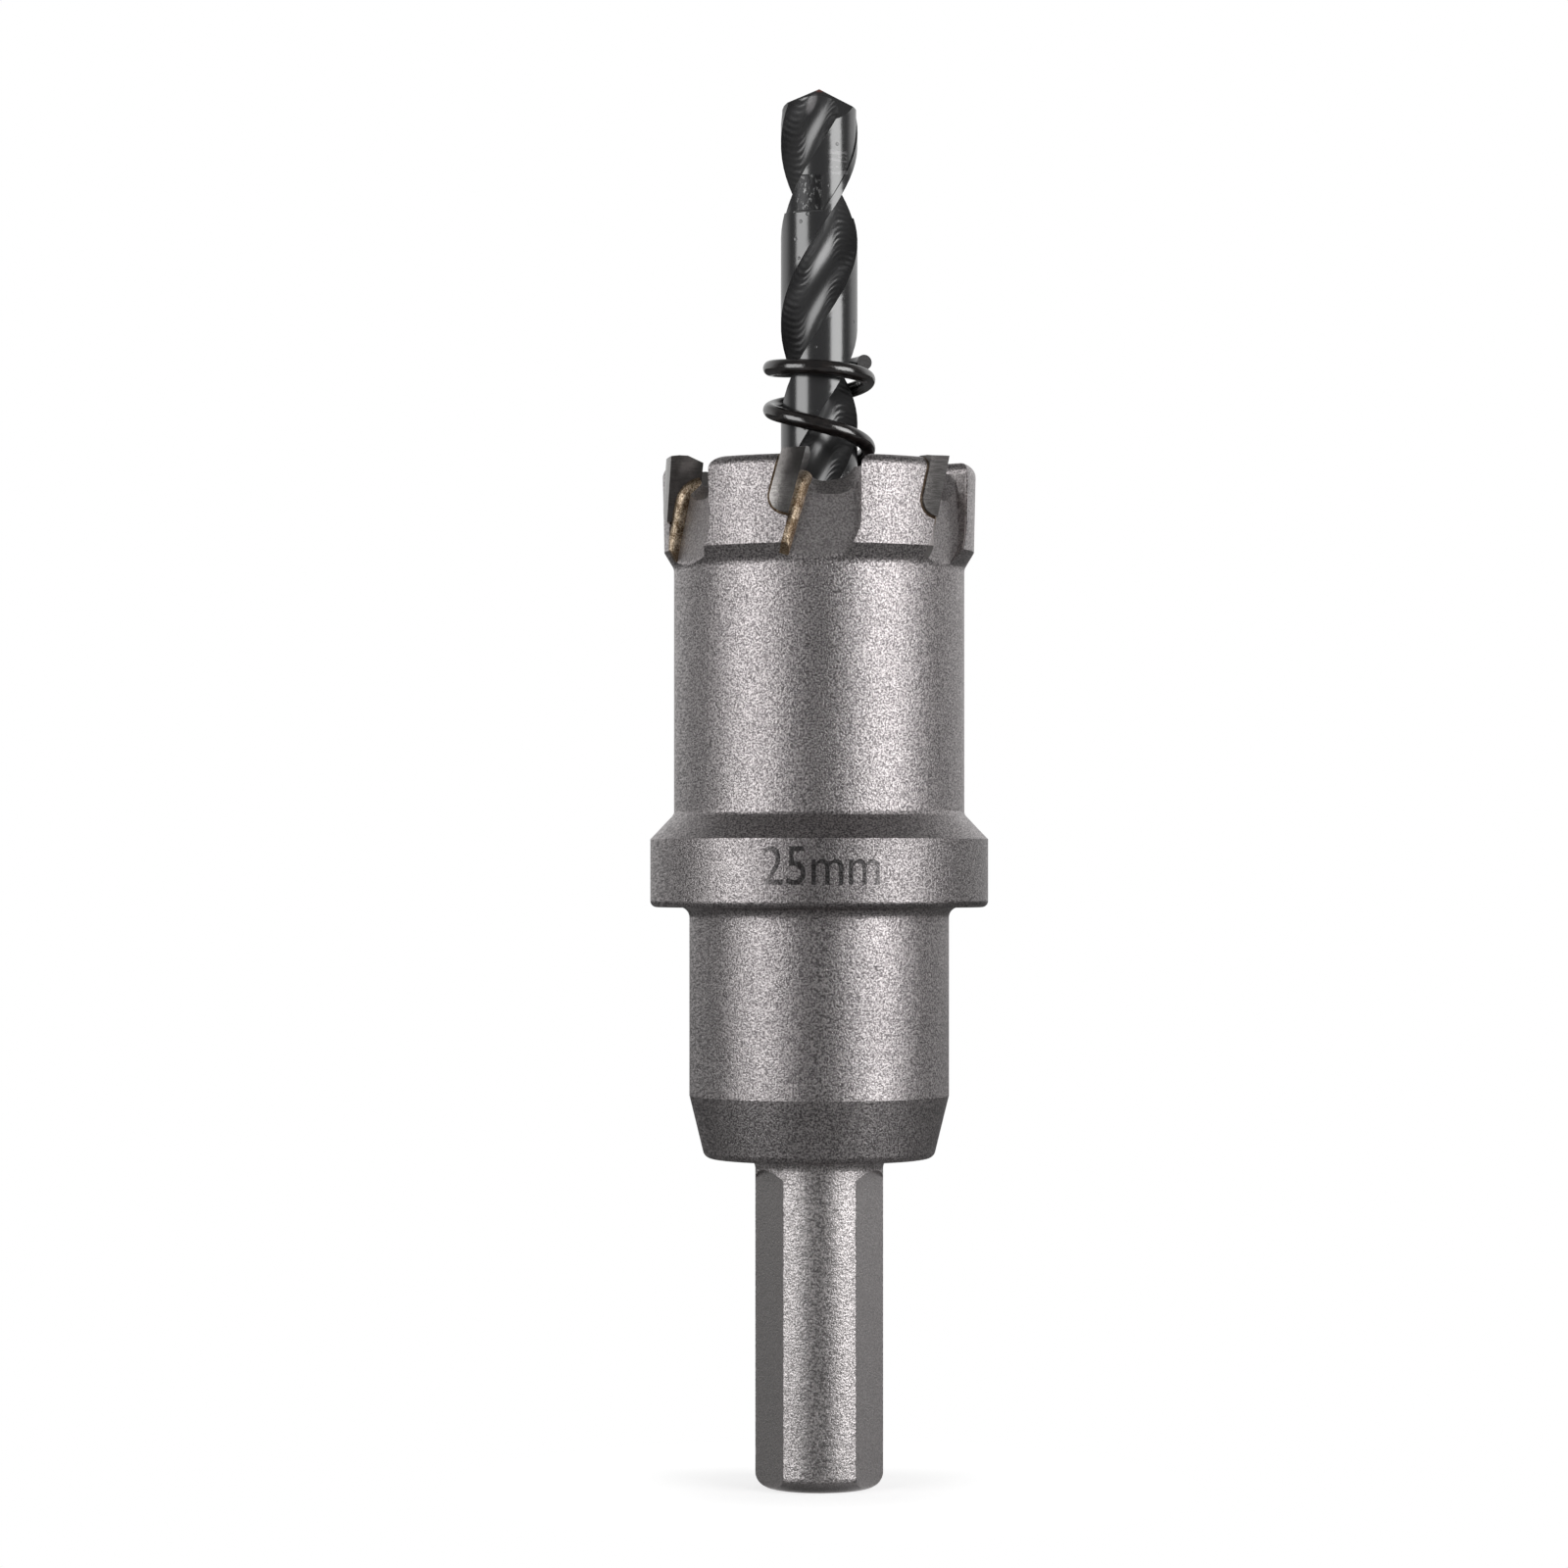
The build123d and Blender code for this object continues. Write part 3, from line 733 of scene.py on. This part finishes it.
class StudioProperties(bpy.types.PropertyGroup):
    """Place and brightness of the softboxes"""

    distance: bpy.props.FloatProperty(
        name="Softbox distance", description="From the tool to a softbox",
        default=0.5, unit="LENGTH",
    )
    inner_edge: bpy.props.FloatProperty(
        name="Inner edge", description="Direction of a softbox's inner edge from the front",
        default=math.radians(35), subtype="ANGLE",
    )
    spread_left: bpy.props.FloatProperty(
        name="Left spread", description="Angle that the left softbox spans",
        default=math.radians(38), subtype="ANGLE",
    )
    spread_right: bpy.props.FloatProperty(
        name="Right spread", description="Angle that the right softbox spans",
        default=math.radians(37), subtype="ANGLE",
    )
    radiance_left: bpy.props.FloatProperty(
        name="Left brightness", description="Brightness of the left softbox, where white paper is 1",
        default=3.0, unit="NONE",
    )
    radiance_right: bpy.props.FloatProperty(
        name="Right brightness", description="Brightness of the right softbox, where white paper is 1",
        default=4.1, unit="NONE",
    )


# Operators


class HOLECUTTER_OT_body(bpy.types.Operator):
    """Finish the turned, milled and blasted body"""

    bl_idname = "holecutter.body"
    bl_label = "Body"

    def execute(self, context):
        dress(["cutter_body"], blasted_steel(context.scene.holecutter_finish))
        return {"FINISHED"}


class HOLECUTTER_OT_teeth(bpy.types.Operator):
    """Finish the carbide teeth and the braze round them"""

    bl_idname = "holecutter.teeth"
    bl_label = "Teeth and braze"

    def execute(self, context):
        props = context.scene.holecutter_finish
        dress(TEETH, ground_carbide(props))
        dress(SEAMS, run_braze(props))
        return {"FINISHED"}


class HOLECUTTER_OT_drill(bpy.types.Operator):
    """Finish the pilot drill and the screw that holds it"""

    bl_idname = "holecutter.drill"
    bl_label = "Pilot drill and screw"

    def execute(self, context):
        dress(["pilot_drill"], black_drill(context.scene.holecutter_finish))
        dress(["grub_screw"], black_screw())
        return {"FINISHED"}


class HOLECUTTER_OT_spring(bpy.types.Operator):
    """Finish the ejector spring"""

    bl_idname = "holecutter.spring"
    bl_label = "Ejector spring"

    def execute(self, context):
        dress(["ejector_spring"], oiled_wire(context.scene.holecutter_finish))
        return {"FINISHED"}


class HOLECUTTER_OT_size_mark(bpy.types.Operator):
    """Etch the cutting diameter on the collar"""

    bl_idname = "holecutter.size_mark"
    bl_label = "Size mark"

    def execute(self, context):
        mark = wrapped_text(context.scene.holecutter_mark)
        mark.data.materials.append(etched_mark(context.scene.holecutter_finish))
        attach(mark, "root")
        return {"FINISHED"}


class HOLECUTTER_OT_stage(bpy.types.Operator):
    """Set up the floor, the background, the softboxes and the camera"""

    bl_idname = "holecutter.stage"
    bl_label = "Studio"

    def execute(self, context):
        props = context.scene.holecutter_studio
        floor()
        studio_world(context.scene)
        softbox(props, -1, props.spread_left, props.radiance_left)
        softbox(props, 1, props.spread_right, props.radiance_right)
        camera(context.scene)
        context.scene.view_settings.view_transform = "Standard"
        return {"FINISHED"}


# Panel and registration


class HOLECUTTER_PT_panel(bpy.types.Panel):
    """Operators of the pieces and the stage, with their properties"""

    bl_idname = "HOLECUTTER_PT_panel"
    bl_label = "Hole cutter"
    bl_space_type = "VIEW_3D"
    bl_region_type = "UI"
    bl_category = "Hole cutter"

    def draw(self, context):
        for operator in OPERATORS:
            self.layout.operator(operator.bl_idname)
        for group in PROPERTIES:
            props = getattr(context.scene, group)
            box = self.layout.box()
            for name in props.__annotations__:
                box.prop(props, name)


PROPERTIES = {
    "holecutter_finish": FinishProperties,
    "holecutter_mark": MarkProperties,
    "holecutter_studio": StudioProperties,
}
OPERATORS = (
    HOLECUTTER_OT_body,
    HOLECUTTER_OT_teeth,
    HOLECUTTER_OT_drill,
    HOLECUTTER_OT_spring,
    HOLECUTTER_OT_size_mark,
    HOLECUTTER_OT_stage,
)
CLASSES = (*PROPERTIES.values(), *OPERATORS, HOLECUTTER_PT_panel)


def register():
    for cls in CLASSES:
        bpy.utils.register_class(cls)
    for name, cls in PROPERTIES.items():
        setattr(bpy.types.Scene, name, bpy.props.PointerProperty(type=cls))


def unregister():
    for name in PROPERTIES:
        delattr(bpy.types.Scene, name)
    for cls in reversed(CLASSES):
        bpy.utils.unregister_class(cls)


def main():
    """Dress the part."""
    register()
    bpy.ops.holecutter.body()
    bpy.ops.holecutter.teeth()
    bpy.ops.holecutter.drill()
    bpy.ops.holecutter.spring()
    bpy.ops.holecutter.size_mark()
    bpy.ops.holecutter.stage()
    bpy.context.view_layer.update()


if __name__ == "__main__":
    main()
